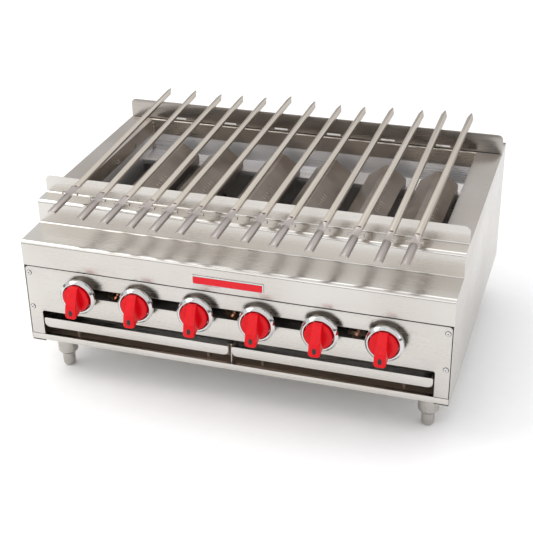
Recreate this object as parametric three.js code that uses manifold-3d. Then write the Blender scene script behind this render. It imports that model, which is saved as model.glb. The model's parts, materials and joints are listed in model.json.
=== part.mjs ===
// Six-burner radiant charbroiler with skewers laid across its splash guards.
// Millimetres, +X to the operator's right, +Y to the back, +Z up.
// Body coordinates: X = 0 on the centre plane, Y = 0 on the control panel's face,
// Z = 0 on the underside of the body. The exported group moves them so that the origin
// is below the middle of the whole object, on the surface the feet stand on.
import * as THREE from 'three';
import { mergeVertices } from 'three/addons/utils/BufferGeometryUtils.js';
import Module from 'manifold-3d';

const wasm = await Module();
wasm.setup();

// ---- driving dimensions ----
const WIDTH = 914.4;            // across the side panels, 36 in
const DEPTH = 672;              // control panel face to back panel face
const SHEET = 1.5;              // body sheet metal
const GAP = 0.3;                // between pieces that touch
const HALF = WIDTH / 2;
const INSIDE = HALF - SHEET - GAP;      // half width between the side panels

const LEDGE_Z = 238.8;          // middle of the lower front ledge
const LEDGE_RISE = 0.8;         // half of what that ledge climbs to the back
const DECK_Z = 291.5;           // top deck and upper front ledge
const RISER_Y = 89;             // step between the two ledges
const SPLASH_Y = 134.2;         // front splash, front face
const SPLASH_Z = 329.3;         // front splash, top edge
const REAR_SPLASH_Y = 601;      // rear splash, front face
const REAR_SPLASH_Z = 336.9;
const SPLASH_CORNER = 12;
const FASCIA_Z = 180.2;         // lower edge of the ledge cover's fascia

const PANEL_HALF = 454.2;       // control panel
const PANEL_TOP = 178.7;
const PANEL_CORNER = 7;
const SILL_Z = 13.6;            // front sill of the bottom pan
const TRAY_DOOR_HALF = 425;     // opening for the drip trays
const TRAY_DOOR_TOP = 73.5;
const SLOT_HALF = 340;          // air slot behind the knobs
const SLOT_LOW = 121;
const SLOT_HIGH = 144.5;

const BURNERS = 6;
const PITCH = 130.6;            // between knobs, and between burners
const KNOB_Z = (SLOT_LOW + SLOT_HIGH) / 2;

const CAVITY_HALF = 400;        // cooking opening in the deck
const CAVITY_FRONT = 150;
const CAVITY_BACK = 590;
const FLANGE_DROP = 36;         // flange turned down round the cooking opening
const LINER_LOW = 75;
const LEDGE_TOP = 211;          // radiant ledges inside the liner
const REAR_LEDGE_Y = 527;
const FRONT_LEDGE_Y = 200;

const LEG_X = 407;
const LEG_FRONT_Y = 62.4;
const LEG_BACK_Y = DEPTH - LEG_FRONT_Y;
const FOOT_LOW = -95.8;         // lowest point with the feet screwed in
const COLLAR_LOW = -65.9;

// ---- looks: plain colours, one material for each mesh ----
const paint = {
  steel: () => new THREE.MeshStandardMaterial({ color: 0xd2cec6, roughness: 0.35, metalness: 1 }),
  liner: () => new THREE.MeshStandardMaterial({ color: 0x7c756d, roughness: 0.5, metalness: 1 }),
  castIron: () => new THREE.MeshStandardMaterial({ color: 0x5d544b, roughness: 0.7, metalness: 0.6 }),
  skewer: () => new THREE.MeshStandardMaterial({ color: 0xc9bba8, roughness: 0.4, metalness: 0.9 }),
  chrome: () => new THREE.MeshStandardMaterial({ color: 0xe8e8e8, roughness: 0.12, metalness: 1 }),
  brass: () => new THREE.MeshStandardMaterial({ color: 0xb98a5e, roughness: 0.35, metalness: 1 }),
  pipe: () => new THREE.MeshStandardMaterial({ color: 0x3a3532, roughness: 0.6, metalness: 0.7 }),
  redPlastic: () => new THREE.MeshStandardMaterial({ color: 0xe0101c, roughness: 0.3, metalness: 0 }),
};

// ---- solids ----
function toSolid(geometry) {
  const bare = geometry.clone();
  bare.deleteAttribute('normal');
  bare.deleteAttribute('uv');
  const merged = mergeVertices(bare, 1e-4);
  const corners = merged.index.array;
  const triangles = [];
  for (let i = 0; i < corners.length; i += 3) {
    const [a, b, c] = corners.slice(i, i + 3);
    if (a !== b && b !== c && c !== a) triangles.push(a, b, c);
  }
  return new wasm.Manifold(new wasm.Mesh({
    numProp: 3,
    vertProperties: new Float32Array(merged.attributes.position.array),
    triVerts: new Uint32Array(triangles),
  }));
}

function toGeometry(solid) {
  const mesh = solid.getMesh();
  const geometry = new THREE.BufferGeometry();
  geometry.setAttribute('position', new THREE.BufferAttribute(mesh.vertProperties, 3));
  geometry.setIndex(new THREE.BufferAttribute(mesh.triVerts, 1));
  geometry.computeVertexNormals();
  return geometry;
}

const join = (...solids) => solids.reduce((whole, solid) => whole.add(solid));
const cut = (whole, ...tools) => tools.reduce((rest, tool) => rest.subtract(tool), whole);

function block(x0, x1, y0, y1, z0, z1) {
  const geometry = new THREE.BoxGeometry(x1 - x0, y1 - y0, z1 - z0);
  geometry.translate((x0 + x1) / 2, (y0 + y1) / 2, (z0 + z1) / 2);
  return toSolid(geometry);
}

// Polygon with rounded corners. Each corner is [u, v, radius]; radius 0 or none is sharp.
function rounded(corners, steps = 4) {
  const outline = [];
  corners.forEach(([u, v, radius = 0], i) => {
    const here = new THREE.Vector2(u, v);
    if (radius === 0) {
      outline.push(here);
      return;
    }
    const before = corners[(i + corners.length - 1) % corners.length];
    const after = corners[(i + 1) % corners.length];
    const toBefore = new THREE.Vector2(before[0] - u, before[1] - v).normalize();
    const toAfter = new THREE.Vector2(after[0] - u, after[1] - v).normalize();
    const halfAngle = Math.acos(THREE.MathUtils.clamp(toBefore.dot(toAfter), -1, 1)) / 2;
    const inward = toBefore.clone().add(toAfter).normalize();
    const centre = here.clone().addScaledVector(inward, radius / Math.sin(halfAngle));
    const reach = radius / Math.tan(halfAngle);
    const first = here.clone().addScaledVector(toBefore, reach).sub(centre);
    const last = here.clone().addScaledVector(toAfter, reach).sub(centre);
    let sweep = last.angle() - first.angle();
    if (sweep > Math.PI) sweep -= 2 * Math.PI;
    if (sweep < -Math.PI) sweep += 2 * Math.PI;
    for (let step = 0; step <= steps; step += 1) {
      const spoke = first.clone().rotateAround(new THREE.Vector2(), (sweep * step) / steps);
      outline.push(centre.clone().add(spoke));
    }
  });
  return outline;
}

function extrude(outline, length) {
  return new THREE.ExtrudeGeometry(new THREE.Shape(outline), { depth: length, bevelEnabled: false });
}

// An outline of (Y, Z) points, extruded from x0 to x1.
function alongX(outline, x0, x1) {
  const geometry = extrude(outline, x1 - x0);
  geometry.applyMatrix4(new THREE.Matrix4().set(0, 0, 1, x0, 1, 0, 0, 0, 0, 1, 0, 0, 0, 0, 0, 1));
  return toSolid(geometry);
}

// An outline of (X, Z) points, extruded from y0 to y1.
function alongY(outline, y0, y1) {
  const geometry = extrude(outline, y1 - y0);
  geometry.applyMatrix4(new THREE.Matrix4().set(1, 0, 0, 0, 0, 0, -1, y1, 0, 1, 0, 0, 0, 0, 0, 1));
  return toSolid(geometry);
}

// An outline of (X, Y) points, extruded from z0 to z1.
function alongZ(outline, z0, z1) {
  const geometry = extrude(outline, z1 - z0);
  geometry.translate(0, 0, z0);
  return toSolid(geometry);
}

// Corners of an upright rectangle, all rounded alike.
function plate(u0, u1, v0, v1, radius = 0) {
  return rounded([[u0, v0, radius], [u1, v0, radius], [u1, v1, radius], [u0, v1, radius]]);
}

// A turned shape: profile points are (radius, distance along the axis). The profile runs
// from the axis to the axis, or round a ring and back to its first point.
function turned(profile, sides) {
  const points = profile.map(([radius, along]) => new THREE.Vector2(radius, along));
  const lathe = new THREE.LatheGeometry(points, sides);
  const solid = toSolid(lathe);
  if (solid.volume() > 0) return solid;
  return toSolid(new THREE.LatheGeometry(points.reverse(), sides));
}

// Turned about an axis parallel to Z, Y or X through the given point.
const turnedZ = (profile, sides, x, y) => turned(profile, sides).rotate([90, 0, 0]).translate([x, y, 0]);
const turnedY = (profile, sides, x, z) => turned(profile, sides).translate([x, 0, z]);
const turnedX = (profile, sides, y, z) => turned(profile, sides).rotate([0, 0, -90]).translate([0, y, z]);
const rod = (radius, from, to) => [[0, from], [radius, from], [radius, to], [0, to]];

// Sheet bent along X. The outer face runs through points [y, z, bend radius]; the metal
// lies to the right of the direction of travel.
function bentSheet(path, x0, x1) {
  const inner = path.map(([y, z, radius = 0], i) => {
    const here = new THREE.Vector2(y, z);
    const point = (k) => new THREE.Vector2(path[k][0], path[k][1]);
    const directions = [];
    if (i > 0) directions.push(here.clone().sub(point(i - 1)).normalize());
    if (i < path.length - 1) directions.push(point(i + 1).sub(here).normalize());
    const rights = directions.map((direction) => new THREE.Vector2(direction.y, -direction.x));
    if (rights.length === 1) return [...here.addScaledVector(rights[0], SHEET).toArray(), 0];
    const bisector = rights[0].clone().add(rights[1]).normalize();
    const reach = SHEET / bisector.dot(rights[0]);
    const turn = directions[0].cross(directions[1]);
    const offset = here.addScaledVector(bisector, reach);
    return [offset.x, offset.y, turn < 0 ? radius - SHEET : radius + SHEET];
  });
  return alongX(rounded([...path, ...inner.reverse()]), x0, x1);
}

// ---- assembly ----
const grill = new THREE.Group();
const body = new THREE.Group();

function add(name, solid, material) {
  const mesh = new THREE.Mesh(toGeometry(solid), material);
  mesh.name = name;
  body.add(mesh);
}

const burnerX = Array.from({ length: BURNERS }, (_, i) => (i - (BURNERS - 1) / 2) * PITCH);
const sideNames = [['left', -1], ['right', 1]];
const spanX = (side, near, far) => (side < 0 ? [-far, -near] : [near, far]);

// ---- casing ----
const SIDE_TOP = DECK_Z - SHEET - GAP;
const PANEL_RETURN = 430;       // half width of the flange along the control panel's top

function sidePanel(side) {
  const under = SHEET + GAP;
  const outline = rounded([
    [0, 0], [DEPTH, 0], [DEPTH, SIDE_TOP], [RISER_Y + under, SIDE_TOP, 6],
    [RISER_Y + under, LEDGE_Z + LEDGE_RISE - under, 3], [under, LEDGE_Z - LEDGE_RISE - under, 7],
    [under, FASCIA_Z - GAP], [0, FASCIA_Z - GAP],
  ]);
  return alongX(outline, ...spanX(side, HALF - SHEET, HALF));
}
sideNames.forEach(([name, side]) => add(`side_panel_${name}`, sidePanel(side), paint.steel()));

const panelOutline = rounded([
  [-PANEL_HALF, SILL_Z + 1], [-TRAY_DOOR_HALF, SILL_Z + 1], [-TRAY_DOOR_HALF, TRAY_DOOR_TOP, 5],
  [TRAY_DOOR_HALF, TRAY_DOOR_TOP, 5], [TRAY_DOOR_HALF, SILL_Z + 1], [PANEL_HALF, SILL_Z + 1],
  [PANEL_HALF, PANEL_TOP, PANEL_CORNER], [-PANEL_HALF, PANEL_TOP, PANEL_CORNER],
]);
const slotRadius = (SLOT_HIGH - SLOT_LOW) / 2 - 0.5;
const controlPanel = join(
  alongY(panelOutline, 0, SHEET),
  block(-PANEL_RETURN, PANEL_RETURN, 0.5, 16, PANEL_TOP - SHEET, PANEL_TOP),
);
const airSlot = alongY(plate(-SLOT_HALF, SLOT_HALF, SLOT_LOW, SLOT_HIGH, slotRadius), -5, 5);
add('control_panel', cut(controlPanel, airSlot), paint.steel());

const ledgePath = [
  [16, FASCIA_Z], [0, FASCIA_Z, SHEET], [0, LEDGE_Z - LEDGE_RISE, 9], [RISER_Y, LEDGE_Z + LEDGE_RISE, 3],
  [RISER_Y, DECK_Z + 0.5, 8], [SPLASH_Y, DECK_Z, 3], [SPLASH_Y, SPLASH_Z],
];
function splashCorners(y, top) {
  const keep = alongY(rounded([
    [-HALF, -10], [HALF, -10], [HALF, top, SPLASH_CORNER], [-HALF, top, SPLASH_CORNER],
  ]), y - 5, y + 5);
  return cut(block(-HALF - 1, HALF + 1, y - 4, y + 4, DECK_Z + 5, top + 1), keep);
}
const ledgeCover = cut(
  bentSheet(ledgePath, -HALF, HALF),
  splashCorners(SPLASH_Y, SPLASH_Z),
  ...[-1, 1].map((side) => block(
    ...spanX(side, INSIDE, HALF + 1), SHEET, 20, FASCIA_Z - 1, FASCIA_Z + SHEET + GAP,
  )),
);
add('ledge_cover', ledgeCover, paint.steel());

const BADGE = { half: 76, low: 193.5, high: 214.5, thick: 2.4, rim: 2.2 };
const badge = cut(
  alongY(plate(-BADGE.half, BADGE.half, BADGE.low, BADGE.high, 2), -GAP - BADGE.thick, -GAP),
  alongY(plate(-BADGE.half + BADGE.rim, BADGE.half - BADGE.rim, BADGE.low + BADGE.rim,
    BADGE.high - BADGE.rim, 1), -GAP - BADGE.thick - 1, -GAP - BADGE.thick + 0.8),
);
add('badge', badge, paint.chrome());

// ---- top deck with the rear splash ----
const DECK_FRONT = SPLASH_Y + SHEET + GAP;
const SPLASH_SLOT = { half: 16.5, low: DECK_Z + 3.5, high: DECK_Z + 7.5, shift: -5 };
const cookingOpening = block(-CAVITY_HALF, CAVITY_HALF, CAVITY_FRONT, CAVITY_BACK, 0, DECK_Z + 20);
const deck = cut(
  join(
    block(-HALF, HALF, DECK_FRONT, REAR_SPLASH_Y + SHEET, DECK_Z - SHEET, DECK_Z),
    block(-CAVITY_HALF - SHEET, CAVITY_HALF + SHEET, CAVITY_FRONT - SHEET, CAVITY_BACK + SHEET,
      DECK_Z - FLANGE_DROP, DECK_Z - 0.5),
    block(-HALF, HALF, REAR_SPLASH_Y, REAR_SPLASH_Y + SHEET, DECK_Z - 0.5, REAR_SPLASH_Z),
  ),
  cookingOpening,
  splashCorners(REAR_SPLASH_Y, REAR_SPLASH_Z),
  ...burnerX.map((x) => block(
    x + SPLASH_SLOT.shift - SPLASH_SLOT.half, x + SPLASH_SLOT.shift + SPLASH_SLOT.half,
    REAR_SPLASH_Y - 5, REAR_SPLASH_Y + 5, SPLASH_SLOT.low, SPLASH_SLOT.high,
  )),
);
add('deck_frame', deck, paint.steel());

const GAS_X = 429;              // gas supply pipe, beside the firebox
const GAS_Z = KNOB_Z - 30;
const backPanel = cut(
  join(
    block(-INSIDE, INSIDE, DEPTH - SHEET, DEPTH, SHEET + GAP, DECK_Z - 1),
    block(-HALF, HALF, REAR_SPLASH_Y + SHEET + GAP, DEPTH, DECK_Z - SHEET, DECK_Z),
  ),
  turnedY(rod(16, DEPTH - 10, DEPTH + 10), 16, GAS_X, GAS_Z),
);
add('back_panel', backPanel, paint.steel());

// ---- bottom pan: floor, front sill, tray runners and the rail between the trays ----
const RUNNER_TOP = 22;
const RAIL_TOP = 58;
const bottomPan = join(
  block(-INSIDE, INSIDE, 0.2, DEPTH - SHEET - GAP, 0, SHEET),
  block(-INSIDE, INSIDE, 0, SHEET, 0, SILL_Z),
  block(-TRAY_DOOR_HALF, TRAY_DOOR_HALF, 0.5, 10, SILL_Z - SHEET, SILL_Z),
  ...[-360, -60, 60, 360].map((x) => block(x - 3, x + 3, 30, 600, SHEET - 0.5, RUNNER_TOP)),
  block(-SHEET / 2, SHEET / 2, 8, 600, SHEET - 0.5, RAIL_TOP),
  block(-3, 3, 8, 600, RAIL_TOP - SHEET, RAIL_TOP),
);
add('bottom_pan', bottomPan, paint.steel());

// ---- firebox liner with the ledges that carry the radiants ----
const BURNER = { bore: 11, body: 16, mouth: 20, front: 90, neck: 118, back: 519 };
const LINER_HALF = CAVITY_HALF + SHEET + GAP;
const LINER_FRONT = CAVITY_FRONT - SHEET - GAP;
const LINER_BACK = CAVITY_BACK + SHEET + GAP;
const LINER_TOP = DECK_Z - SHEET - GAP;
const LIP = 12;
const REST = { front: 500, thick: 3, top: KNOB_Z - BURNER.body - GAP };
const linerWalls = cut(
  block(-LINER_HALF - SHEET, LINER_HALF + SHEET, LINER_FRONT - SHEET, LINER_BACK + SHEET,
    LINER_LOW, LINER_TOP),
  block(-LINER_HALF, LINER_HALF, LINER_FRONT, LINER_BACK, LINER_LOW - 1, LINER_TOP + 1),
);
const reach = LINER_HALF + 0.5;
const liner = cut(
  join(
    linerWalls,
    block(-reach, reach, REAR_LEDGE_Y, LINER_BACK + 0.5, LEDGE_TOP - SHEET, LEDGE_TOP),
    block(-reach, reach, REAR_LEDGE_Y, REAR_LEDGE_Y + SHEET, LEDGE_TOP - LIP, LEDGE_TOP),
    block(-reach, reach, LINER_FRONT - 0.5, FRONT_LEDGE_Y, LEDGE_TOP - SHEET, LEDGE_TOP),
    block(-reach, reach, FRONT_LEDGE_Y - SHEET, FRONT_LEDGE_Y, LEDGE_TOP - LIP, LEDGE_TOP),
    block(-reach, reach, REST.front, REST.front + REST.thick, LINER_LOW, REST.top),
  ),
  ...burnerX.map((x) => turnedY(rod(BURNER.body + 2, LINER_FRONT - 10, LINER_FRONT + 10), 12, x, KNOB_Z)),
);
add('firebox_liner', liner, paint.liner());

// ---- burners: tubes with an open, flared mouth that the valve blows into ----
function burner(x) {
  return turnedY([
    [0, BURNER.back - 3], [BURNER.bore, BURNER.back - 3], [BURNER.bore, BURNER.neck],
    [BURNER.mouth - 2, BURNER.front], [BURNER.mouth, BURNER.front],
    [BURNER.bore + 2, BURNER.neck], [BURNER.body, BURNER.neck + 20], [BURNER.body, BURNER.back],
    [0, BURNER.back],
  ], 12, x, KNOB_Z);
}
burnerX.forEach((x, i) => add(`burner_${i + 1}`, burner(x), paint.castIron()));

// ---- radiants: loose steel tents that stand on the ledges over the burners ----
const RADIANT = { half: 44, ridge: 260, shoulder: 231, front: 160, back: 541, thick: 2.5 };
const radiantShift = [22, 4, 16, 12, 10, 0];    // loose pieces stand a little off their burners
function radiant(x) {
  const low = LEDGE_TOP + GAP;
  const { half, ridge, shoulder, thick } = RADIANT;
  const outline = [
    [-half, low], [-half, shoulder], [-6, ridge - 1], [0, ridge], [6, ridge - 1],
    [half, shoulder], [half, low], [half - thick, low], [half - thick, shoulder - 1.6],
    [0, ridge - 3.4], [-half + thick, shoulder - 1.6], [-half + thick, low],
  ].map(([u, v]) => new THREE.Vector2(x + u, v));
  return alongY(outline, RADIANT.front, RADIANT.back);
}
burnerX.forEach((x, i) => add(`radiant_${i + 1}`, radiant(x + radiantShift[i]), paint.castIron()));

// ---- gas manifold: cross pipe, six valves, and the supply pipe to the back ----
const PIPE = 11;                // manifold pipe radius
const SUPPLY = 13.3;            // supply pipe radius, 3/4 in pipe
const MANIFOLD_Y = 48;
const VALVE = { radius: 11, front: 21, back: 76, nozzle: 5, tip: 86, bore: 4.3, boreDepth: 16 };
const STEM = VALVE.bore - GAP;
const valves = burnerX.map((x) => cut(
  join(
    turnedY(rod(VALVE.radius, VALVE.front, VALVE.back), 10, x, KNOB_Z),
    turnedY(rod(VALVE.nozzle, VALVE.back - 1, VALVE.tip), 8, x, KNOB_Z),
    turnedZ(rod(6, GAS_Z, KNOB_Z - 3), 8, x, MANIFOLD_Y),
  ),
  turnedY(rod(VALVE.bore, VALVE.front - 1, VALVE.front + VALVE.boreDepth), 10, x, KNOB_Z),
));
const SUPPLY_END = DEPTH + 30;
const manifold = join(
  turnedX(rod(PIPE, -SLOT_HALF - 15, GAS_X - 5), 12, MANIFOLD_Y, GAS_Z),
  turnedY(rod(SUPPLY + 4, MANIFOLD_Y - SUPPLY - 4, MANIFOLD_Y + SUPPLY + 14), 12, GAS_X, GAS_Z),
  turnedY(rod(SUPPLY, MANIFOLD_Y, SUPPLY_END), 16, GAS_X, GAS_Z),
  ...valves,
);
const supplyBore = turnedY(rod(SUPPLY - 3, SUPPLY_END - 40, SUPPLY_END + 1), 12, GAS_X, GAS_Z);
add('gas_manifold', cut(manifold, supplyBore), paint.pipe());

// ---- pilot valves: one between each pair of burners, seen through the air slot ----
const PILOT_Z = GAS_Z + 14;
const PILOT_Y = 28;
function pilot(x) {
  return join(
    block(x - 9, x + 9, PILOT_Y - 7, PILOT_Y + 7, PILOT_Z - 8, PILOT_Z + 8),
    turnedX(rod(6, x - 18, x - 8), 6, PILOT_Y, PILOT_Z + 2),
    turnedX(rod(6, x + 8, x + 18), 6, PILOT_Y, PILOT_Z + 2),
    turnedY(rod(4, PILOT_Y - 12, PILOT_Y), 8, x, PILOT_Z - 1),
    turnedZ(rod(3.5, PILOT_Z, PILOT_Z + 13), 8, x + 3, PILOT_Y),
    turnedY(rod(3, PILOT_Y, MANIFOLD_Y - PIPE + 0.8), 8, x, PILOT_Z - 8),
  );
}
[-2, 0, 2].forEach((step, i) => add(`pilot_valve_${i + 1}`, pilot(step * PITCH), paint.brass()));

// ---- bezels and knobs ----
const BEZEL = {
  base: 28.5, rim: 39, front: -27, shoulder: -22, step: -9, bore: 31, face: 34, floor: -12, hole: 8,
};
const bezelProfile = [
  [BEZEL.hole, -GAP], [BEZEL.base, -GAP], [BEZEL.base, BEZEL.step], [BEZEL.rim, BEZEL.step - 6],
  [BEZEL.rim, BEZEL.shoulder], [BEZEL.face, BEZEL.front], [BEZEL.bore, BEZEL.front + 0.5],
  [BEZEL.bore, BEZEL.floor], [BEZEL.hole, BEZEL.floor], [BEZEL.hole, -GAP],
];
const KNOB = { radius: 29, back: BEZEL.floor - 2, face: -31, top: 31, low: -31, topHalf: 9.5, lowHalf: 13.2 };
const GRIP = { topFront: -34, lowFront: -60.5 };
function knob(x) {
  const disc = turnedY([
    [0, KNOB.face - 1], [KNOB.radius - 12, KNOB.face - 1], [KNOB.radius - 2, KNOB.face + 0.5],
    [KNOB.radius, KNOB.face + 3], [KNOB.radius, KNOB.back], [0, KNOB.back],
  ], 24, x, KNOB_Z);
  const stem = turnedY(rod(STEM, KNOB.back - 1, VALVE.front + VALVE.boreDepth - 4), 10, x, KNOB_Z);
  const front = rounded([
    [x - KNOB.topHalf, KNOB_Z + KNOB.top, 3], [x - KNOB.lowHalf, KNOB_Z + KNOB.low, 8],
    [x + KNOB.lowHalf, KNOB_Z + KNOB.low, 8], [x + KNOB.topHalf, KNOB_Z + KNOB.top, 3],
  ], 3);
  const side = rounded([
    [KNOB.face + 2, KNOB_Z + KNOB.top + 1], [GRIP.topFront, KNOB_Z + KNOB.top + 1, 1.5],
    [GRIP.lowFront, KNOB_Z + KNOB.low + 3, 3], [GRIP.lowFront + 4, KNOB_Z + KNOB.low - 1],
    [KNOB.face + 2, KNOB_Z + KNOB.low + 4],
  ], 3);
  const grip = alongY(front, GRIP.lowFront - 1, KNOB.face + 3).intersect(alongX(side, x - 20, x + 20));
  return join(disc, stem, grip);
}
burnerX.forEach((x, i) => {
  add(`bezel_${i + 1}`, turnedY(bezelProfile, 20, x, KNOB_Z), paint.chrome());
  add(`knob_${i + 1}`, knob(x), paint.redPlastic());
});

// ---- drip trays ----
const TRAY = { inner: 8, outer: 418, front: 20, back: 560, low: RUNNER_TOP + GAP, high: 55, wall: 1.5 };
const LIP_STRIP = { inner: 3.6, outer: 422.4, low: 34.5, high: 56.5, radius: 11 };
function dripTray(side) {
  const span = (near, far) => spanX(side, near, far);
  const [stripLeft, stripRight] = span(LIP_STRIP.inner, LIP_STRIP.outer);
  const strip = rounded([
    [stripLeft, LIP_STRIP.low, LIP_STRIP.radius], [stripRight, LIP_STRIP.low, LIP_STRIP.radius],
    [stripRight, LIP_STRIP.high, 3], [stripLeft, LIP_STRIP.high, 3],
  ]);
  const { inner, outer, front, back, low, high, wall } = TRAY;
  return join(
    cut(
      block(...span(inner, outer), front, back, low, high),
      block(...span(inner + wall, outer - wall), front + wall, back - wall, low + wall, high + 1),
    ),
    block(...span(inner, outer), 0.5, front + wall, LIP_STRIP.high - wall - 1, LIP_STRIP.high - 1),
    alongY(strip, 0, wall),
  );
}
sideNames.forEach(([name, side]) => add(`drip_tray_${name}`, dripTray(side), paint.steel()));

// ---- legs and screw feet ----
const legPlaces = [[-LEG_X, LEG_FRONT_Y], [LEG_X, LEG_FRONT_Y], [-LEG_X, LEG_BACK_Y], [LEG_X, LEG_BACK_Y]];
const legNames = ['front_left', 'front_right', 'back_left', 'back_right'];
const FOOT = { radius: 13.8, stem: 7, stemTop: -22 };
const collarProfile = [
  [0, -GAP], [22.3, -GAP], [22.3, -44], [21, -51], [17.5, -58], [14.8, COLLAR_LOW + 3], [14.8, COLLAR_LOW],
  [FOOT.stem + GAP, COLLAR_LOW], [FOOT.stem + GAP, FOOT.stemTop + 6], [0, FOOT.stemTop + 6],
];
const footProfile = [
  [0, FOOT_LOW], [8.5, FOOT_LOW], [12, FOOT_LOW + 4], [FOOT.radius, FOOT_LOW + 11],
  [FOOT.radius, COLLAR_LOW - GAP], [FOOT.stem, COLLAR_LOW - GAP], [FOOT.stem, FOOT.stemTop],
  [0, FOOT.stemTop],
];
legPlaces.forEach(([x, y], i) => {
  add(`leg_${legNames[i]}`, turnedZ(collarProfile, 14, x, y), paint.chrome());
  add(`foot_${legNames[i]}`, turnedZ(footProfile, 14, x, y), paint.chrome());
});

// ---- skewers: each lies on the two splash guards ----
// [X of the middle, Y of the handle's end, length, turn about Z in degrees]
const skewers = [
  [-371, -34, 711, 1.7], [-303, -48, 726, 1.8], [-242, -50, 719, 0.4], [-186, -53, 727, 0.6],
  [-132, -56, 733, -0.2], [-76, -53, 752, -0.4], [-8, -50, 732, 0], [56, -50, 724, -0.4],
  [114, -52, 730, -0.5], [182, -52, 742, -0.1], [252, -56, 748, -0.3], [311, -58, 762, 0.7],
  [367, -56, 758, -0.3],
];
const SKEWER = {
  blade: 8.2, bladeHeight: 6.2, handle: 9, handleHeight: 7.2, wall: 1.3,
  handleEnd: 84, plateEnd: 128, plateLow: 2.8, earAt: 92, earReach: 17, earDrop: 4, tip: 30,
};

// A strip folded to an upturned trough, lying along Y with its edges at Z = 0.
function trough(half, height, from, to) {
  const { wall } = SKEWER;
  const outer = [[-half, 0], [-0.8 * half, 0.62 * height], [-0.3 * half, height]];
  const inner = [
    [-half + wall, 0], [-0.8 * half + wall, 0.62 * height - 0.6], [-0.3 * half + 0.3, height - wall],
  ];
  const flip = (points) => points.map(([u, v]) => [-u, v]);
  const outline = [...outer, ...flip(outer).reverse(), ...flip(inner), ...inner.reverse()];
  return alongY(outline.map(([u, v]) => new THREE.Vector2(u, v)), from, to);
}

function skewer(x, handleY, length, turn) {
  const { blade, handle, handleEnd, plateEnd, plateLow, earAt, earReach, earDrop, tip, wall } = SKEWER;
  const handlePlan = alongZ(rounded([
    [-handle, 0, handle - 1], [handle, 0, handle - 1], [handle, handleEnd], [-handle, handleEnd],
  ]), -1, 20);
  const bladePlan = alongZ(rounded([
    [-blade - 1, plateEnd - 3], [blade + 1, plateEnd - 3], [blade + 1, length - tip],
    [0.6, length], [-0.6, length], [-blade - 1, length - tip],
  ]), -1, 20);
  const piece = join(
    trough(handle, SKEWER.handleHeight, 0, handleEnd).intersect(handlePlan),
    block(-blade, blade, handleEnd - 3, plateEnd, plateLow, plateLow + wall),
    block(-earReach, earReach, earAt, earAt + 7, plateLow, plateLow + wall),
    ...[-1, 1].map((side) => block(
      ...spanX(side, earReach - wall, earReach), earAt, earAt + 7, plateLow - earDrop, plateLow + wall,
    )),
    trough(blade, SKEWER.bladeHeight, plateEnd - 3, length).intersect(bladePlan),
  );
  const slope = Math.atan2(REAR_SPLASH_Z - SPLASH_Z, REAR_SPLASH_Y - SPLASH_Y);
  const middle = handleY + length / 2;
  return piece.translate([0, -length / 2, 0])
    .rotate([THREE.MathUtils.radToDeg(slope), 0, turn])
    .translate([x, middle, SPLASH_Z + GAP + (middle - SPLASH_Y) * Math.tan(slope)]);
}
skewers.forEach((place, i) => {
  add(`skewer_${String(i + 1).padStart(2, '0')}`, skewer(...place), paint.skewer());
});

// ---- origin: below the middle of the whole object, on the floor ----
const bounds = new THREE.Box3().setFromObject(body);
body.position.set(0, -(bounds.min.y + bounds.max.y) / 2, -bounds.min.z);
grill.add(body);
grill.updateMatrixWorld(true);

export default grill;
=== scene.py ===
"""Looks of the six-burner charbroiler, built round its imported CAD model.

Most steel pieces are the CAD nodes with their edges broken and smooth shading. The turned pieces,
the knobs and the front ledges are made again with finer curves, and small parts that the CAD
leaves out, such as screws, are added. Sizes are in millimetres in the body's own coordinates:
X = 0 on the centre plane, Y = 0 on the control panel's face, Z = 0 under the body.
"""
import json
import math

import bmesh
import bpy
from mathutils import Euler, Matrix, Vector


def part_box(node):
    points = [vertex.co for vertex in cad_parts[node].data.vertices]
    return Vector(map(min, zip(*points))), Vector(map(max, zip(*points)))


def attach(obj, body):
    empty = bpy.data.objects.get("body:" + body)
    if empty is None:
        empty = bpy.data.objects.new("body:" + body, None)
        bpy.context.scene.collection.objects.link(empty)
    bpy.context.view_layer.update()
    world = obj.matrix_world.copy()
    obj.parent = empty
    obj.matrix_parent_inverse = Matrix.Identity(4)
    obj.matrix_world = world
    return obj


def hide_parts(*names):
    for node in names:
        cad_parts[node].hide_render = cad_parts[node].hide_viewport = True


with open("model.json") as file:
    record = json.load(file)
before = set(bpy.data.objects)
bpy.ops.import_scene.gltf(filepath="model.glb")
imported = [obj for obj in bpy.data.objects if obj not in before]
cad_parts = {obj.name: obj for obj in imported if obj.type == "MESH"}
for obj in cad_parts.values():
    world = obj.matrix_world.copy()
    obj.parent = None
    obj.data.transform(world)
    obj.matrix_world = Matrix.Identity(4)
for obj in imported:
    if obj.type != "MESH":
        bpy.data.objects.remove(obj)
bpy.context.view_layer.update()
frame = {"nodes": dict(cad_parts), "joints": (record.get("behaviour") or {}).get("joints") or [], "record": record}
nodes = frame["nodes"]
joints = {joint["child"]: joint for joint in frame["joints"]}
bodies = frame["record"]["behaviour"]["bodies"]
body_of = {node: body for body, members in bodies.items() for node in members}
slot_of = {part["node"]: part["material_slot"] for part in frame["record"]["subparts"]}

MM = 0.001
ORIGIN = Vector((0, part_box("control_panel")[0].y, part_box("bottom_pan")[0].z))
SHEET = 1.5


def spot(x, y, z):
    """A point given in body coordinates, in the frame's metres."""
    return ORIGIN + Vector((x, y, z)) * MM


def body_box(node):
    """A CAD node's lowest and highest corners in body coordinates."""
    low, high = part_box(node)
    return (low - ORIGIN) / MM, (high - ORIGIN) / MM


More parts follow.
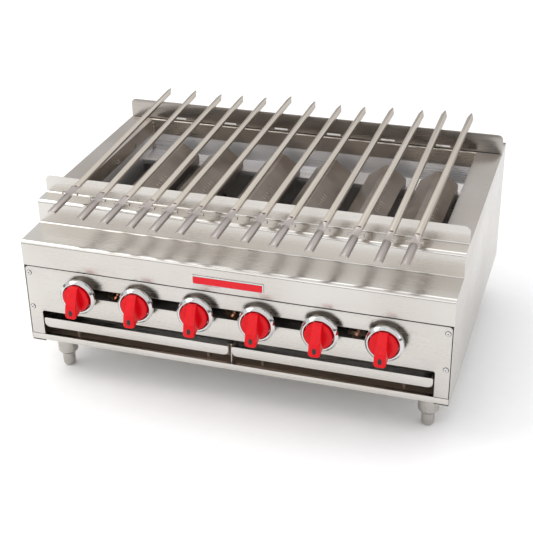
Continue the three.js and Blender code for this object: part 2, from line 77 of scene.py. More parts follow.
# ---- materials ----
def new_material(name, color, metallic, roughness, **sockets):
    material = bpy.data.materials.new(name)
    material.use_nodes = True
    shader = material.node_tree.nodes["Principled BSDF"]
    shader.inputs["Base Color"].default_value = (*color, 1)
    shader.inputs["Metallic"].default_value = metallic
    shader.inputs["Roughness"].default_value = roughness
    for socket, value in sockets.items():
        shader.inputs[socket.replace("_", " ")].default_value = value
    return material, material.node_tree, shader


def node_of(tree, kind, **settings):
    node = tree.nodes.new(kind)
    for key, value in settings.items():
        setattr(node, key, value)
    return node


def noise(tree, scale, detail=3, roughness=0.55, offset=(0, 0, 0)):
    """Noise in the object's own coordinates. scale is in cycles per metre along X, Y and Z."""
    place = node_of(tree, "ShaderNodeTexCoord")
    mapping = node_of(tree, "ShaderNodeMapping")
    mapping.inputs["Scale"].default_value = scale
    mapping.inputs["Location"].default_value = offset
    texture = node_of(tree, "ShaderNodeTexNoise")
    texture.inputs["Scale"].default_value = 1
    texture.inputs["Detail"].default_value = detail
    texture.inputs["Roughness"].default_value = roughness
    tree.links.new(place.outputs["Object"], mapping.inputs["Vector"])
    tree.links.new(mapping.outputs["Vector"], texture.inputs["Vector"])
    return texture.outputs["Fac"]


def between(tree, factor, low, high, start=0.35, end=0.65):
    """Maps the middle of a noise onto the range from low to high."""
    ranged = node_of(tree, "ShaderNodeMapRange")
    ranged.inputs["From Min"].default_value = start
    ranged.inputs["From Max"].default_value = end
    ranged.inputs["To Min"].default_value = low
    ranged.inputs["To Max"].default_value = high
    tree.links.new(factor, ranged.inputs["Value"])
    return ranged.outputs["Result"]


def blend_colors(tree, factor, first, second):
    mix = node_of(tree, "ShaderNodeMix", data_type="RGBA")
    mix.inputs["A"].default_value = (*first, 1)
    mix.inputs["B"].default_value = (*second, 1)
    tree.links.new(factor, mix.inputs["Factor"])
    return mix.outputs["Result"]


def bump(tree, shader, height, strength, distance):
    """Adds a height to the surface, on top of any that it has already."""
    bumped = node_of(tree, "ShaderNodeBump")
    bumped.inputs["Strength"].default_value = strength
    bumped.inputs["Distance"].default_value = distance
    tree.links.new(height, bumped.inputs["Height"])
    for link in shader.inputs["Normal"].links:
        tree.links.new(link.from_socket, bumped.inputs["Normal"])
    tree.links.new(bumped.outputs["Normal"], shader.inputs["Normal"])


def add(tree, first, second):
    plus = node_of(tree, "ShaderNodeMath", operation="ADD")
    tree.links.new(first, plus.inputs[0])
    tree.links.new(second, plus.inputs[1])
    return plus.outputs[0]


ALONG_X, ALONG_Y, ALONG_Z = (6, 700, 700), (700, 6, 700), (700, 700, 6)


def brushed(name, grain, clean, smudged, roughness, spread=0.05, waves=0.5, metallic=1, comb=0.03):
    """Brushed steel: fine grain along one axis, faint smudges, and the slow waves of pressed sheet."""
    material, tree, shader = new_material(name, clean, metallic, roughness)
    lines = noise(tree, grain, 4, 0.6)
    smudges = noise(tree, (5, 5, 5), 3)
    tree.links.new(blend_colors(tree, between(tree, smudges, 0, 1), clean, smudged),
                   shader.inputs["Base Color"])
    gloss = add(tree, between(tree, lines, roughness - spread, roughness + spread),
                between(tree, smudges, -0.03, 0.04))
    tree.links.new(gloss, shader.inputs["Roughness"])
    bump(tree, shader, noise(tree, (11, 14, 11), 1), waves, 0.0006)
    bump(tree, shader, lines, comb, 0.0001)
    return material


def plated(name, color, roughness):
    """Bright plating with faint wipe marks."""
    material, tree, shader = new_material(name, color, 1, roughness)
    marks = noise(tree, (60, 60, 60), 3)
    tree.links.new(between(tree, marks, roughness * 0.7, roughness * 1.5), shader.inputs["Roughness"])
    tree.links.new(blend_colors(tree, between(tree, marks, 0, 1), color, [c * 0.93 for c in color]),
                   shader.inputs["Base Color"])
    return material


def rough_metal(name, dark, light, metallic, roughness, grain=90, depth=0.0004, strength=0.4):
    """Cast or scaled metal: mottled colour and a grainy surface."""
    material, tree, shader = new_material(name, dark, metallic, roughness)
    mottle = noise(tree, (14, 14, 14), 4, 0.6)
    grit = noise(tree, (grain * 8,) * 3, 4, 0.6)
    tree.links.new(blend_colors(tree, between(tree, mottle, 0, 1), dark, light), shader.inputs["Base Color"])
    tree.links.new(between(tree, mottle, roughness - 0.08, roughness + 0.1), shader.inputs["Roughness"])
    bump(tree, shader, grit, strength, depth)
    return material


def glossy_plastic(name, color, roughness):
    """Moulded plastic with a soft gloss and the faintest ripple."""
    material, tree, shader = new_material(name, color, 0, roughness, Specular_IOR_Level=0.2)
    ripple = noise(tree, (120, 120, 120), 2)
    tree.links.new(blend_colors(tree, between(tree, ripple, 0, 1), color, [c * 0.9 for c in color]),
                   shader.inputs["Base Color"])
    tree.links.new(between(tree, ripple, roughness - 0.04, roughness + 0.05), shader.inputs["Roughness"])
    bump(tree, shader, ripple, 0.03, 0.0003)
    return material


def painted(name, color, roughness, wear=0.85):
    """Flat ink or enamel, slightly uneven."""
    material, tree, shader = new_material(name, color, 0, roughness, Specular_IOR_Level=0.25)
    patches = noise(tree, (40, 40, 40), 3)
    tree.links.new(blend_colors(tree, between(tree, patches, 0, 1), color, [c * wear for c in color]),
                   shader.inputs["Base Color"])
    tree.links.new(between(tree, patches, roughness - 0.06, roughness + 0.06), shader.inputs["Roughness"])
    return material


STEEL, STEEL_WARM = (0.60, 0.58, 0.55), (0.56, 0.535, 0.50)
materials = {
    "panel_steel": brushed("panel_steel", ALONG_X, STEEL, STEEL_WARM, 0.24, waves=0.12),
    "ledge_steel": brushed("ledge_steel", ALONG_X, STEEL, STEEL_WARM, 0.22, 0.04, waves=0.12, comb=0.015),
    # A darker copy of the body steel for the deck: painted shade for the dimmer reflection of its flat top.
    "deck_steel_shaded": brushed("deck_steel_shaded", ALONG_X, (0.43, 0.40, 0.37), (0.39, 0.355, 0.325), 0.3,
                          0.03, waves=0.06, comb=0.01),
    "side_steel": brushed("side_steel", ALONG_Y, (0.58, 0.56, 0.53), (0.55, 0.525, 0.49), 0.3, waves=0.2),
    "liner_steel": brushed("liner_steel", ALONG_X, (0.74, 0.73, 0.74), (0.58, 0.56, 0.555), 0.3,
                           0.03, waves=0.9, metallic=0.7, comb=0.01),
    "hot_steel": brushed("hot_steel", ALONG_X, (0.62, 0.56, 0.495), (0.46, 0.40, 0.345), 0.3,
                         0.03, waves=0.5, metallic=0.85, comb=0.01),
    "pan_steel": brushed("pan_steel", ALONG_X, (0.42, 0.31, 0.24), (0.34, 0.25, 0.19), 0.5, metallic=0.3),
    "cast_iron": rough_metal("cast_iron", (0.28, 0.25, 0.225), (0.40, 0.37, 0.34), 0.9, 0.36),
    "radiant_steel": rough_metal("radiant_steel", (0.22, 0.185, 0.16), (0.30, 0.26, 0.225), 0.8, 0.38,
                                 60, 0.0003, 0.2),
    # A lighter copy of the radiant steel for the pressed ribs: painted highlight.
    "rib_highlight_steel": rough_metal("rib_highlight_steel", (0.46, 0.41, 0.36), (0.54, 0.49, 0.44), 0.9, 0.3, 60, 0.0002, 0.2),
    "skewer_steel": brushed("skewer_steel", ALONG_Y, (0.61, 0.555, 0.485), (0.56, 0.505, 0.435), 0.34,
                            0.03, waves=0, comb=0.01),
    # Darker steel for the skewer handles, also painted shade on the ears.
    "handle_steel_and_shade": brushed("handle_steel_and_shade", ALONG_Y, (0.47, 0.425, 0.40), (0.42, 0.375, 0.35), 0.32,
                            0.03, waves=0, comb=0.01),
    # Dark rough metal for the bezels' backs: painted shade where they are unlit.
    "bezel_back_painted_shade": rough_metal("bezel_back_painted_shade", (0.16, 0.145, 0.13), (0.22, 0.20, 0.18), 0.9, 0.32,
                              60, 0.0001, 0.1),
    "chrome": plated("chrome", (0.64, 0.64, 0.635), 0.07),
    "nickel": plated("nickel", (0.47, 0.445, 0.415), 0.2),
    "brass": rough_metal("brass", (0.74, 0.47, 0.34), (0.88, 0.64, 0.50), 1, 0.3, 60, 0.0002, 0.2),
    "pipe": rough_metal("pipe", (0.045, 0.04, 0.037), (0.08, 0.072, 0.065), 0.4, 0.5),
    "knob_red": glossy_plastic("knob_red", (0.69, 0.002, 0.008), 0.16),
    "badge_red": painted("badge_red", (0.74, 0.010, 0.020), 0.32, 0.95),
    # Dark ink for printed marks, also used as painted shade in the screws' cross recesses.
    "ink_and_shade": painted("ink_and_shade", (0.03, 0.028, 0.028), 0.45),
    # Near black for strips and rings set in gaps and creases: painted shade.
    "gap_shade": painted("gap_shade", (0.02, 0.016, 0.014), 0.8),
}
look_of_slot = {
    "body_steel": "panel_steel", "liner_steel": "liner_steel", "cast_iron": "cast_iron",
    "skewer_steel": "skewer_steel", "chrome": "chrome", "brass": "brass", "pipe": "pipe",
    "knob_red": "knob_red",
}
look_of_node = {
    "side_panel_left": "side_steel", "side_panel_right": "side_steel", "deck_frame": "deck_steel_shaded",
    **{f"radiant_{i}": "radiant_steel" for i in range(1, 7)},
    **{node: "nickel" for node in nodes if node.startswith(("leg_", "foot_"))},
}


def look(node):
    return look_of_node.get(node, look_of_slot[slot_of[node]])


# ---- making pieces ----
def make_piece(name, mesh_data, look_name, body, replaced=(), smooth_angle=35):
    """Turns a bmesh in the frame's metres into a piece that rides on a CAD body."""
    mesh = bpy.data.meshes.new(name)
    bmesh.ops.recalc_face_normals(mesh_data, faces=mesh_data.faces)
    mesh_data.to_mesh(mesh)
    mesh_data.free()
    mesh.materials.append(materials[look_name])
    mesh.polygons.foreach_set("use_smooth", [True] * len(mesh.polygons))
    mesh.set_sharp_from_angle(angle=math.radians(smooth_angle))
    piece = bpy.data.objects.new(name, mesh)
    bpy.context.scene.collection.objects.link(piece)
    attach(piece, body)
    if replaced:
        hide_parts(*replaced)
    return piece


def bevelled(mesh_data, width, segments, least_angle):
    """Breaks the edges that are sharper than least_angle, in place."""
    edges = [edge for edge in mesh_data.edges
             if len(edge.link_faces) == 2 and edge.calc_face_angle(0) > math.radians(least_angle)]
    bmesh.ops.bevel(mesh_data, geom=edges, offset=width * MM, segments=segments, profile=0.5,
                    affect="EDGES", clamp_overlap=True)


def refined(node, width=0.45, segments=2, least_angle=35, smooth_angle=35):
    """A copy of a CAD node with its sharp edges broken, which stands for the node."""
    source = bmesh.new()
    source.from_mesh(nodes[node].data)
    bmesh.ops.remove_doubles(source, verts=source.verts, dist=0.01 * MM)
    bmesh.ops.dissolve_limit(source, angle_limit=math.radians(0.5), verts=source.verts, edges=source.edges)
    bevelled(source, width, segments, least_angle)
    return make_piece(f"{node}_shell", source, look(node), body_of[node], (node,),
                      smooth_angle)


def look_where(piece, look_name, test):
    """Gives the faces whose centre, in body coordinates, passes the test a second look."""
    piece.data.materials.append(materials[look_name])
    for face in piece.data.polygons:
        if test((face.center - ORIGIN) / MM):
            face.material_index = len(piece.data.materials) - 1


def arc_path(points, steps=10, closed=False):
    """Rounds the corners of a path of (u, v, radius) points."""
    path = []
    count = len(points)
    for i, point in enumerate(points):
        here, radius = Vector(point[:2]), (point[2] if len(point) > 2 else 0)
        if radius == 0 or (not closed and i in (0, count - 1)):
            path.append(here)
            continue
        before = (Vector(points[i - 1][:2]) - here).normalized()
        after = (Vector(points[(i + 1) % count][:2]) - here).normalized()
        half = before.angle(after) / 2
        centre = here + (before + after).normalized() * (radius / math.sin(half))
        reach = radius / math.tan(half)
        first, last = here + before * reach - centre, here + after * reach - centre
        sweep = first.angle_signed(last)
        for step in range(steps + 1):
            turn = -sweep * step / steps
            path.append(centre + Vector((first.x * math.cos(turn) - first.y * math.sin(turn),
                                         first.x * math.sin(turn) + first.y * math.cos(turn))))
    return path


def offset_path(path, thickness):
    """The path moved to the right of its direction of travel."""
    moved = []
    for i, here in enumerate(path):
        ways = []
        if i > 0:
            ways.append((here - path[i - 1]).normalized())
        if i < len(path) - 1:
            ways.append((path[i + 1] - here).normalized())
        rights = [Vector((way.y, -way.x)) for way in ways]
        bisector = sum(rights, Vector((0, 0))).normalized()
        moved.append(here + bisector * (thickness / bisector.dot(rights[0])))
    return moved


def loft(sections, closed_ring=True, caps=True):
    """Skins a list of rings of points, all of one length."""
    mesh_data = bmesh.new()
    rings = [[mesh_data.verts.new(point) for point in section] for section in sections]
    count = len(rings[0])
    for near, far in zip(rings, rings[1:]):
        for i in range(count if closed_ring else count - 1):
            j = (i + 1) % count
            mesh_data.faces.new((near[i], near[j], far[j], far[i]))
    if caps:
        mesh_data.faces.new(rings[0][::-1])
        mesh_data.faces.new(rings[-1])
    return mesh_data


def lathe(profile, sides, axis, x, y, z, ring=False):
    """Turns a path of (radius, distance) about an axis through a body point.

    axis is "Y" or "Z". The path runs from the axis to the axis, or with ring round to its start.
    """
    mesh_data = bmesh.new()
    rings = []
    for radius, along in profile:
        if radius < 1e-6:
            place = spot(x, y + along, z) if axis == "Y" else spot(x, y, z + along)
            rings.append([mesh_data.verts.new(place)])
            continue
        circle = []
        for k in range(sides):
            turn = 2 * math.pi * k / sides
            u, v = radius * math.cos(turn), radius * math.sin(turn)
            place = spot(x + u, y + along, z + v) if axis == "Y" else spot(x + u, y + v, z + along)
            circle.append(mesh_data.verts.new(place))
        rings.append(circle)
    pairs = list(zip(rings, rings[1:]))
    if ring:
        pairs.append((rings[-1], rings[0]))
    for near, far in pairs:
        for k in range(sides):
            j = (k + 1) % sides
            if len(near) == 1 and len(far) > 1:
                mesh_data.faces.new((near[0], far[j], far[k]))
            elif len(far) == 1 and len(near) > 1:
                mesh_data.faces.new((near[k], near[j], far[0]))
            elif len(near) > 1:
                mesh_data.faces.new((near[k], near[j], far[j], far[k]))
    return mesh_data


def box_mesh(x0, x1, y0, y1, z0, z1, edge=0.0):
    """A block in body coordinates, with broken edges where edge is given."""
    mesh_data = bmesh.new()
    bmesh.ops.create_cube(mesh_data, size=1)
    for vert in mesh_data.verts:
        u, v, w = vert.co + Vector((0.5, 0.5, 0.5))
        vert.co = spot(x0 + u * (x1 - x0), y0 + v * (y1 - y0), z0 + w * (z1 - z0))
    if edge:
        bevelled(mesh_data, edge, 2, 35)
    return mesh_data


def prism(outline, y0, y1):
    """An outline of (X, Z) body points with thickness from y0 to y1."""
    return loft([[spot(u, y, v) for u, v in outline] for y in (y0, y1)])


def merged(parts):
    """Several bmeshes as one."""
    whole = bmesh.new()
    for part in parts:
        mesh = bpy.data.meshes.new("part")
        part.to_mesh(mesh)
        part.free()
        whole.from_mesh(mesh)
        bpy.data.meshes.remove(mesh)
    return whole


# ---- camera and light ----
CAMERA = {"azimuth": 18.01, "elevation": 28.35, "roll": -0.935, "distance": 2.6674,
          "aim": (-0.0139, -0.0252, 0.1836), "lens": 79.77}


def make_camera():
    azimuth, elevation = math.radians(CAMERA["azimuth"]), math.radians(CAMERA["elevation"])
    back = Vector((math.sin(azimuth) * math.cos(elevation), -math.cos(azimuth) * math.cos(elevation),
                   math.sin(elevation)))
    data = bpy.data.cameras.new("camera")
    data.lens, data.sensor_width = CAMERA["lens"], 36
    camera = bpy.data.objects.new("camera", data)
    bpy.context.scene.collection.objects.link(camera)
    camera.location = Vector(CAMERA["aim"]) + back * CAMERA["distance"]
    facing = (-back).to_track_quat("-Z", "Y")
    camera.rotation_mode = "QUATERNION"
    camera.rotation_quaternion = facing @ Euler((0, 0, math.radians(CAMERA["roll"]))).to_quaternion()
    bpy.context.scene.camera = camera


def area_light(name, place, aim, width, height, power, color=(1, 1, 1)):
    data = bpy.data.lights.new(name, "AREA")
    data.shape, data.size, data.size_y = "RECTANGLE", width, height
    data.energy, data.color = power, color
    lamp = bpy.data.objects.new(name, data)
    bpy.context.scene.collection.objects.link(lamp)
    lamp.location = place
    lamp.rotation_mode = "QUATERNION"
    lamp.rotation_quaternion = (Vector(aim) - Vector(place)).to_track_quat("-Z", "Y")


def make_studio():
    """Soft light from all round, dimmer towards the horizon, over a plain pale floor."""
    world = bpy.data.worlds.new("studio")
    world.use_nodes = True
    tree = world.node_tree
    direction = node_of(tree, "ShaderNodeTexCoord")
    parts = node_of(tree, "ShaderNodeSeparateXYZ")
    ramp = node_of(tree, "ShaderNodeValToRGB")
    tree.links.new(direction.outputs["Generated"], parts.inputs["Vector"])
    tree.links.new(parts.outputs["Z"], ramp.inputs["Fac"])
    tree.links.new(ramp.outputs["Color"], tree.nodes["Background"].inputs["Color"])
    tree.nodes["Background"].inputs["Strength"].default_value = 1.08
    stops = [(0, 0.12), (0.1, 0.2), (0.26, 0.85), (1, 1)]
    ramp.color_ramp.elements.new(0.1)
    ramp.color_ramp.elements.new(0.2)
    for stop, (height, grey) in zip(ramp.color_ramp.elements, stops):
        stop.position = height
        stop.color = (grey, grey, grey * 1.01, 1)
    bpy.context.scene.world = world
    bpy.context.scene.view_settings.view_transform = "Standard"
    area_light("key", (-2.4, -0.9, 3.0), (0, 0, 0.2), 2.4, 2.4, 54, (1, 0.985, 0.96))
    area_light("front", (-0.9, -2.9, 1.7), (0, 0, 0.3), 3.2, 1.6, 13)
    area_light("overhead", (0.2, 0.6, 2.8), (0, 0, 0.2), 2.2, 1.4, 12)
    area_light("fill", (2.6, -0.8, 1.4), (0, 0, 0.2), 1.4, 1.8, 6)
    floor_data = bmesh.new()
    bmesh.ops.create_grid(floor_data, x_segments=1, y_segments=1, size=40)
    mesh = bpy.data.meshes.new("floor")
    floor_data.to_mesh(mesh)
    floor_data.free()
    mesh.materials.append(painted("floor", (0.92, 0.92, 0.92), 0.7, 0.99))
    floor = bpy.data.objects.new("floor", mesh)
    bpy.context.scene.collection.objects.link(floor)


# ---- steelwork ----
REFINED = ["side_panel_left", "side_panel_right", "control_panel", "back_panel", "firebox_liner", "badge"]


def make_ledge_cover():
    """The bent front cover: fascia, lower ledge, riser, upper ledge and front splash."""
    low, high = body_box("ledge_cover")
    ledge, ledge_rise, riser, deck, splash, corner = 238.8, 0.8, 89, 291.5, 134.2, 12
    outer = arc_path([
        (2, low.z), (0, low.z, SHEET), (0, ledge - ledge_rise, 9), (riser, ledge + ledge_rise, 3),
        (riser, deck + 0.5, 8), (splash, deck, 3), (splash, high.z),
    ], 12)
    ring = outer + offset_path(outer, SHEET)[::-1]
    ends = []
    for step in range(9):
        turn = math.radians(90 * step / 8)
        ends.append((high.x - corner + corner * math.cos(turn), high.z - corner + corner * math.sin(turn)))
    places = [(-reach, height) for reach, height in ends] + ends[::-1]
    sections = [[spot(x, y, min(z, height)) for y, z in ring] for x, height in places]
    cover = loft(sections)
    make_piece("ledge_cover_shell", cover, "ledge_steel", "chassis", ("ledge_cover",), 40)


def make_bottom_pan():
    """The bottom pan, brown and dull inside."""
    top, front = 50, 11
    look_where(refined("bottom_pan"), "pan_steel", lambda at: 0.5 < at.z < top and at.y > front)


def make_trays():
    """The trays, with the lower part of the front wall brown behind the lip."""
    top, front, back = 53, 10, 21
    for name in ("drip_tray_left", "drip_tray_right"):
        look_where(refined(name), "pan_steel", lambda at: at.z < top and front < at.y < back)


def make_deck():
    """The deck, with the flange round the cooking opening browned by heat."""
    half, front, back, top = 402, 148, 592, 290.5
    look_where(refined("deck_frame"), "hot_steel",
               lambda at: abs(at.x) < half and front < at.y < back and at.z < top)


# ---- knobs and bezels ----
KNOB_FACE, KNOB_RADIUS = -31, 29
GRIP = {"top": 31, "fold": -4, "low": -31, "top_half": 9.8, "low_half": 12.8,
        "top_front": -37, "fold_front": -57.5, "low_front": -60}


def grip_front(height):
    """How far out the grip's front face is at a height from the knob's middle."""
    above, below = ("top", "fold") if height > GRIP["fold"] else ("fold", "low")
    share = (GRIP[above] - height) / (GRIP[above] - GRIP[below])
    return GRIP[f"{above}_front"] + share * (GRIP[f"{below}_front"] - GRIP[f"{above}_front"])


def make_knob(i, x, z):
    disc = lathe(arc_path([
        (0, -14), (KNOB_RADIUS, -14, 1), (KNOB_RADIUS, KNOB_FACE, 2.5), (20, KNOB_FACE - 1, 2),
        (0, KNOB_FACE - 1),
    ], 6), 72, "Y", x, 0, z)
    fold_share = (GRIP["top"] - GRIP["fold"]) / (GRIP["top"] - GRIP["low"])
    fold_half = GRIP["top_half"] + fold_share * (GRIP["low_half"] - GRIP["top_half"])
    outline = arc_path([
        (-GRIP["top_half"], GRIP["top"], 2), (-fold_half, GRIP["fold"]), (-GRIP["low_half"], GRIP["low"], 7),
        (GRIP["low_half"], GRIP["low"], 7), (fold_half, GRIP["fold"]), (GRIP["top_half"], GRIP["top"], 2),
    ], 8, closed=True)
    undercut = 5        # the lower end leans back towards the disc
    undercut_below = -18
    back = [spot(x + u, KNOB_FACE + 2, z + v + (undercut if v < undercut_below else 0)) for u, v in outline]
    front = [spot(x + u, grip_front(v), z + v) for u, v in outline]
    grip = loft([back, front])
    before_disc = spot(0, KNOB_FACE - 2, 0).y
    fold_height = spot(0, 0, z + GRIP["fold"]).z
    fold = [vert for vert in grip.verts
            if vert.co.y < before_disc and abs(vert.co.z - fold_height) < 0.01 * MM]
    bmesh.ops.connect_verts(grip, verts=fold)
    rim = [edge for edge in grip.edges if all(vert.co.y < before_disc for vert in edge.verts)]
    bmesh.ops.bevel(grip, geom=rim, offset=1.1 * MM, segments=3, profile=0.5, affect="EDGES",
                    clamp_overlap=True)
    body = f"knob_{i}"
    make_piece(f"knob_{i}_shell", merged([disc, grip]), "knob_red", body, (body,), 30)
    tilt = math.atan2(GRIP["low_front"] - GRIP["fold_front"], GRIP["fold"] - GRIP["low"])
    mark_height, mark_radius, mark_stretch = -18, 4, 1.7
    mark = lathe(arc_path([(0, 0), (mark_radius, 0), (mark_radius, -0.35, 0.2), (0, -0.35)], 3),
                 32, "Y", 0, 0, 0)
    for vert in mark.verts:
        local = vert.co - ORIGIN
        local.z *= mark_stretch
        local = Matrix.Rotation(tilt, 3, "X") @ local
        vert.co = spot(x, grip_front(mark_height) + 0.1, z + mark_height) + local
    make_piece(f"knob_{i}_mark", mark, "ink_and_shade", body)


def make_bezel(i, x, z):
    """The flared ring round a knob, with three plain marks on its bevelled face; the back of the flare is painted
    dark as painted shade.
    """
    profile = arc_path([
        (8, -0.4), (28.5, -0.4, 0.6), (28.5, -8, 4), (38.9, -14.5, 4), (38.9, -22, 1.2), (34, -26.9, 1),
        (31.2, -26.4, 1), (31.2, -12.2, 1.5), (8, -12.2),
    ], 6, closed=True)
    ring = lathe(profile, 96, "Y", x, 0, z, ring=True)
    shell = make_piece(f"bezel_{i}_shell", ring, "chrome", "chassis", (f"bezel_{i}",), 40)
    back_of_flare, bore = -14, 28
    # Faces behind the flare get the dark metal: painted shade on the bezel's unlit back.
    look_where(shell, "bezel_back_painted_shade",
               lambda at: at.y > back_of_flare and math.hypot(at.x - x, at.z - z) > bore)
    ticks, tick_ring, tick_depth = [], 36.5, -24.6
    for degrees, length in ((90, 2.6), (-60, 2), (-120, 2)):
        turn = math.radians(degrees)
        tick = box_mesh(-0.7, 0.7, -0.25, 0.1, -length / 2, length / 2)
        lean = Matrix.Rotation(math.radians(45), 3, "X")
        spin = Matrix.Rotation(math.radians(90) - turn, 3, "Y")
        middle = Vector((tick_ring * math.cos(turn), tick_depth, tick_ring * math.sin(turn)))
        for vert in tick.verts:
            vert.co = spot(x, 0, z) + spin @ (lean @ (vert.co - ORIGIN)) + middle * MM
        ticks.append(tick)
    make_piece(f"bezel_{i}_marks", merged(ticks), "ink_and_shade", "chassis")


# ---- legs ----
def make_leg(name, x, y):
    collar = lathe(arc_path([
        (0, -0.4), (22.2, -0.4, 0.8), (22.2, -56.5, 6), (16.4, -62.5, 2), (15.6, -65.8, 0.6),
        (7.4, -65.8), (7.4, -16), (0, -16),
    ], 6), 64, "Z", x, y, 0)
    make_piece(f"leg_{name}_shell", collar, "nickel", "chassis", (f"leg_{name}",), 35)
    foot = lathe(arc_path([
        (0, -95.8), (9.5, -95.8, 2.5), (13.4, -90.5, 5), (13.9, -80, 8), (13.9, -66.3, 0.8), (6.9, -66.3),
        (6.9, -22, 1), (0, -22),
    ], 6), 64, "Z", x, y, 0)
    make_piece(f"foot_{name}_shell", foot, "nickel", f"foot_{name}", (f"foot_{name}",), 35)


# ---- firebox ----
def make_radiant(i):
    """A radiant with a row of plain raised ribs pressed along its right slope, in a lighter steel as painted
    highlight.
    """
    node = f"radiant_{i}"
    refined(node, 0.3, 1, 35, 14)
    low, high = body_box(node)
    middle = (low.x + high.x) / 2
    slope = math.atan2(28, 38)      # the sheet falls 28 mm in 38 mm from ridge to shoulder
    turn = Matrix.Rotation(slope, 3, "Y")
    out, height, first, step, gap = 25, 245, 250, 12, 5
    ribs = []
    for k in range(11):
        if k == gap:
            continue
        rib = box_mesh(-4, 4, -1.3, 1.3, -0.3, 0.9, 0.3)
        for vert in rib.verts:
            vert.co = spot(middle + out, first + step * k, height) + turn @ (vert.co - ORIGIN)
        ribs.append(rib)
    make_piece(f"{node}_ribs", merged(ribs), "rib_highlight_steel", node)


def make_firebox_details():
    """Rows of weld beads in the back corners, and the two small bent tabs on the left wall."""
    half, back, low, pitch, radius, count = 398.2, 588.2, 206, 8, 3.2, 10
    for side, label in ((-1, "left"), (1, "right")):
        beads = []
        for k in range(count):
            start = low + pitch * k
            bead = [(0, start), (radius * 0.8, start + 0.6), (radius, start + 3),
                    (radius * 0.8, start + 5.4), (0, start + 6)]
            beads.append(lathe(bead, 12, "Z", side * half, back, 0))
        make_piece(f"corner_weld_{label}", merged(beads), "skewer_steel", "chassis")
    for k, y in enumerate((378, 482), 1):
        tab = box_mesh(-400.2, -396.5, y - 9, y + 9, 263, 264.6, 0.4)
        stem = box_mesh(-400.2, -398.6, y - 4, y + 4, 264.5, 270, 0.4)
        make_piece(f"wall_tab_{k}", merged([tab, stem]), "nickel", "chassis")


# ---- small parts ----
HANDLE_LENGTH = 126     # to the end of the plate that carries the ears


def make_skewer(node):
    """A skewer whose handle and ears take a darker steel: a duller handle, and painted shade on the ears."""
    handle = body_box(node)[0].y + HANDLE_LENGTH
    # The handle and its ears get the darker steel; on the ears it is painted shade.
    look_where(refined(node, 0.35), "handle_steel_and_shade", lambda at: at.y < handle)


def make_screw(name, x, y, z, radius=5.1):
    """A pan-head screw on a face that looks along -Y, with a dark cross on its head as painted shade for the
    recess, and a dark ring under the head as painted shadow.
    """
    # A dark ring under the head: painted shadow.
    shadow_ring = lathe([(0, 0), (radius + 0.9, 0), (radius + 0.7, -0.4), (0, -0.4)], 32, "Y", x, y, z)
    make_piece(f"{name}_washer", shadow_ring, "gap_shade", "chassis")
    head = lathe(arc_path([(0, 0), (radius, 0), (radius, -1.9, 1.4), (0, -2.3)], 5), 32, "Y", x, y, z)
    make_piece(name, head, "chrome", "chassis", (), 40)
    # A dark cross on the head: painted shade for the cross recess.
    cross_shade = merged([
        box_mesh(x - 2, x + 2, y - 2.42, y - 2.0, z - 0.45, z + 0.45),
        box_mesh(x - 0.45, x + 0.45, y - 2.4, y - 2.02, z - 2, z + 2),
    ])
    make_piece(f"{name}_cross", cross_shade, "ink_and_shade", "chassis")


SILL_HEIGHT = 13.6


def make_seam_shade():
    """Dark strips in the gaps round the control panel: painted shade."""
    half, panel_top, fascia_low, foot_top, door_half = 454, 178.75, 180.15, 14.55, 426
    strips = [box_mesh(-half, half, 0.4, 14, panel_top, fascia_low)]
    for left, right in ((-half, -door_half), (door_half, half)):
        strips.append(box_mesh(left, right, 0.15, 1.4, SILL_HEIGHT + 0.05, foot_top))
    make_piece("panel_gap_shade", merged(strips), "gap_shade", "chassis")


def make_sill_ends():
    """The thin flange that shows below each end of the sill, under a dark strip set in the gap as painted shade.
    """
    door_half, half = 426, 455.5
    gaps, flanges = [], []
    for left, right in ((-half, -door_half), (door_half, half)):
        # Dark boxes fill the gaps under the sill ends: painted shade.
        gaps.append(box_mesh(left, right, 0.4, 12, -2.1, -0.05))
        flanges.append(box_mesh(left, right, 0.2, 20, -3.3, -2.1, 0.3))
    make_piece("sill_gap_shade", merged(gaps), "gap_shade", "chassis")
    make_piece("sill_flanges", merged(flanges), "panel_steel", "chassis")


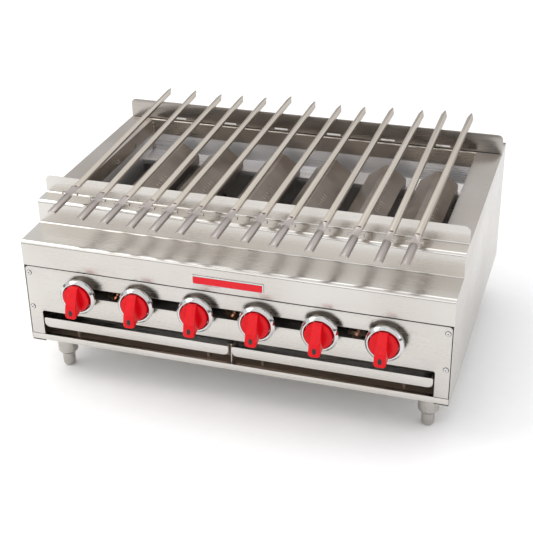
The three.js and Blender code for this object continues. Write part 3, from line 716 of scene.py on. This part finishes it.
def make_deck_lines():
    """The bright bend behind the cooking opening, and a dark strip in the crease along the rear splash as painted
    shade.
    """
    half, bend_y, bend_z, radius = 400, 592.6, 291, 1.5
    turns = [math.radians(30 * k) for k in range(12)]
    ring = [(radius * math.cos(turn), radius * math.sin(turn)) for turn in turns]
    bend = loft([[spot(x, bend_y + u, bend_z + v) for u, v in ring] for x in (-half, half)])
    make_piece("deck_bend", bend, "skewer_steel", "chassis")
    # A dark strip in the crease at the splash's foot: painted shade.
    seam = box_mesh(-452, 452, 599.7, 600.9, 291.55, 292.6)
    make_piece("splash_seam_shade", seam, "gap_shade", "chassis")


def make_badge_face():
    low, high = body_box("badge")
    inset = 3
    outline = arc_path([
        (low.x + inset, low.z + inset, 1), (high.x - inset, low.z + inset, 1),
        (high.x - inset, high.z - inset, 1), (low.x + inset, high.z - inset, 1),
    ], 5, closed=True)
    make_piece("badge_face", prism(outline, low.y + 0.1, low.y + 0.7), "badge_red", "chassis")


# ---- everything ----
make_camera()
make_studio()
for node in REFINED:
    refined(node)
for node in nodes:
    if node.startswith("skewer_"):
        make_skewer(node)
for i in range(1, 7):
    make_radiant(i)
make_ledge_cover()
make_bottom_pan()
make_trays()
make_deck()
make_seam_shade()
make_sill_ends()
make_deck_lines()
make_firebox_details()
for i in range(1, 7):
    hinge = joints[f"knob_{i}"]
    centre = (Vector(hinge["pos_m"]) - ORIGIN) / MM
    make_knob(i, centre.x, centre.z)
    make_bezel(i, centre.x, centre.z)
for node in nodes:
    if node.startswith("leg_"):
        low, high = body_box(node)
        make_leg(node[4:], (low.x + high.x) / 2, (low.y + high.y) / 2)
SCREW_X, SCREW_HEIGHTS = 446, (163.7, 81)
for side, label in ((-1, "left"), (1, "right")):
    for k, height in enumerate(SCREW_HEIGHTS, 1):
        make_screw(f"panel_screw_{label}_{k}", side * SCREW_X, 0, height)
make_badge_face()
for node, mesh_object in nodes.items():
    if not mesh_object.hide_render:
        mesh_object.data.materials.clear()
        mesh_object.data.materials.append(materials[look(node)])
